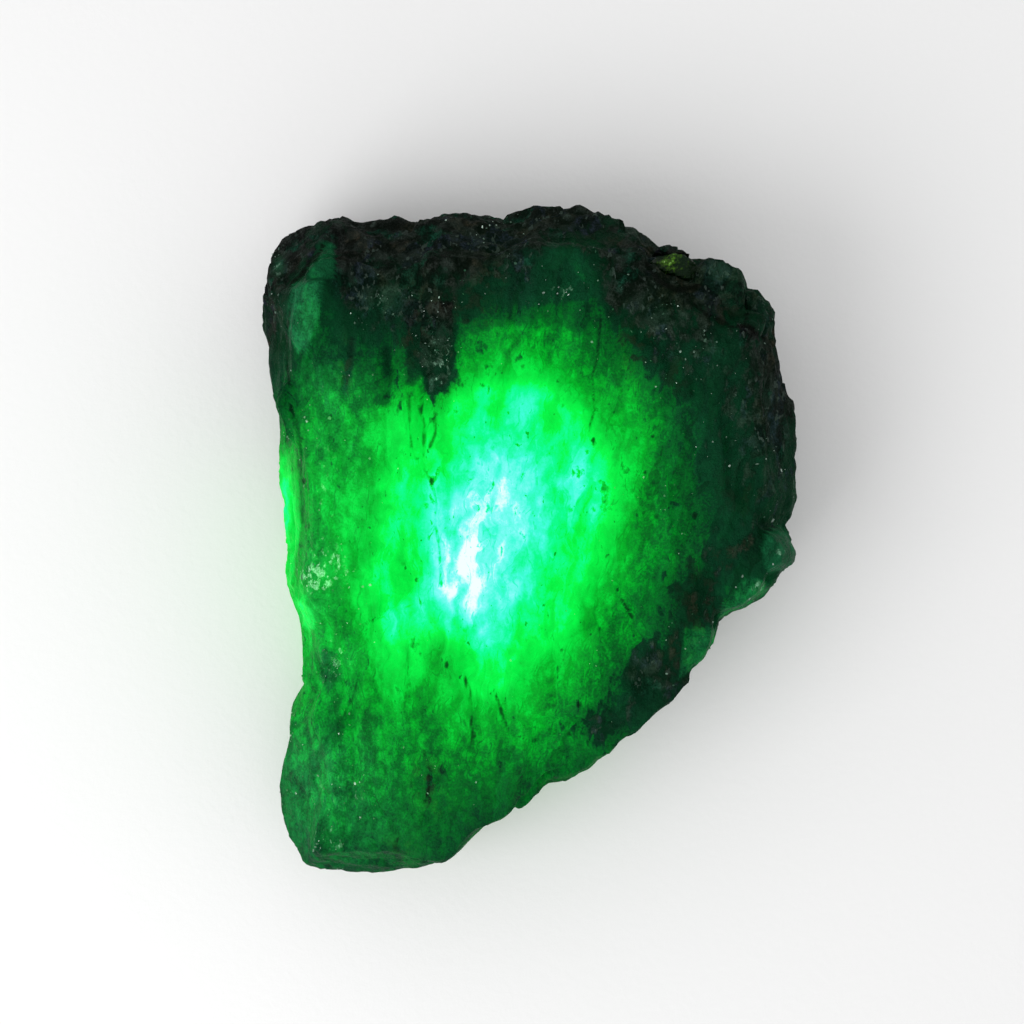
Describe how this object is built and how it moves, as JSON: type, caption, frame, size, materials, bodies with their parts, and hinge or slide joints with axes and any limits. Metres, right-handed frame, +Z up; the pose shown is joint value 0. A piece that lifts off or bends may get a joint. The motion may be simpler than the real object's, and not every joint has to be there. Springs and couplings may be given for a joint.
{
  "type": "raw emerald crystal",
  "caption": "rough emerald crystal, a broken D-shaped piece of deep green beryl with a dark mica rind, lying on a flat underside",
  "frame": {"origin": "Centre of the bounding box in plan, on the flat underside that the stone rests on, at z = 0.", "axes": "+Z points up out of the flat underside through the stone's thickness. +Y runs along the stone's length towards its broad, dark, square end. +X runs across its width towards the side that slants away to the narrow foot."},
  "size_m": [0.0484, 0.06, 0.0215],
  "materials": {
    "emerald_rough": "broken, sugary deep green beryl, clouded and nearly opaque, with dark mica rind along its upper and right edges"
  },
  "bodies": {
    "root": {"raw_emerald": "emerald_rough"}
  },
  "joints": []
}
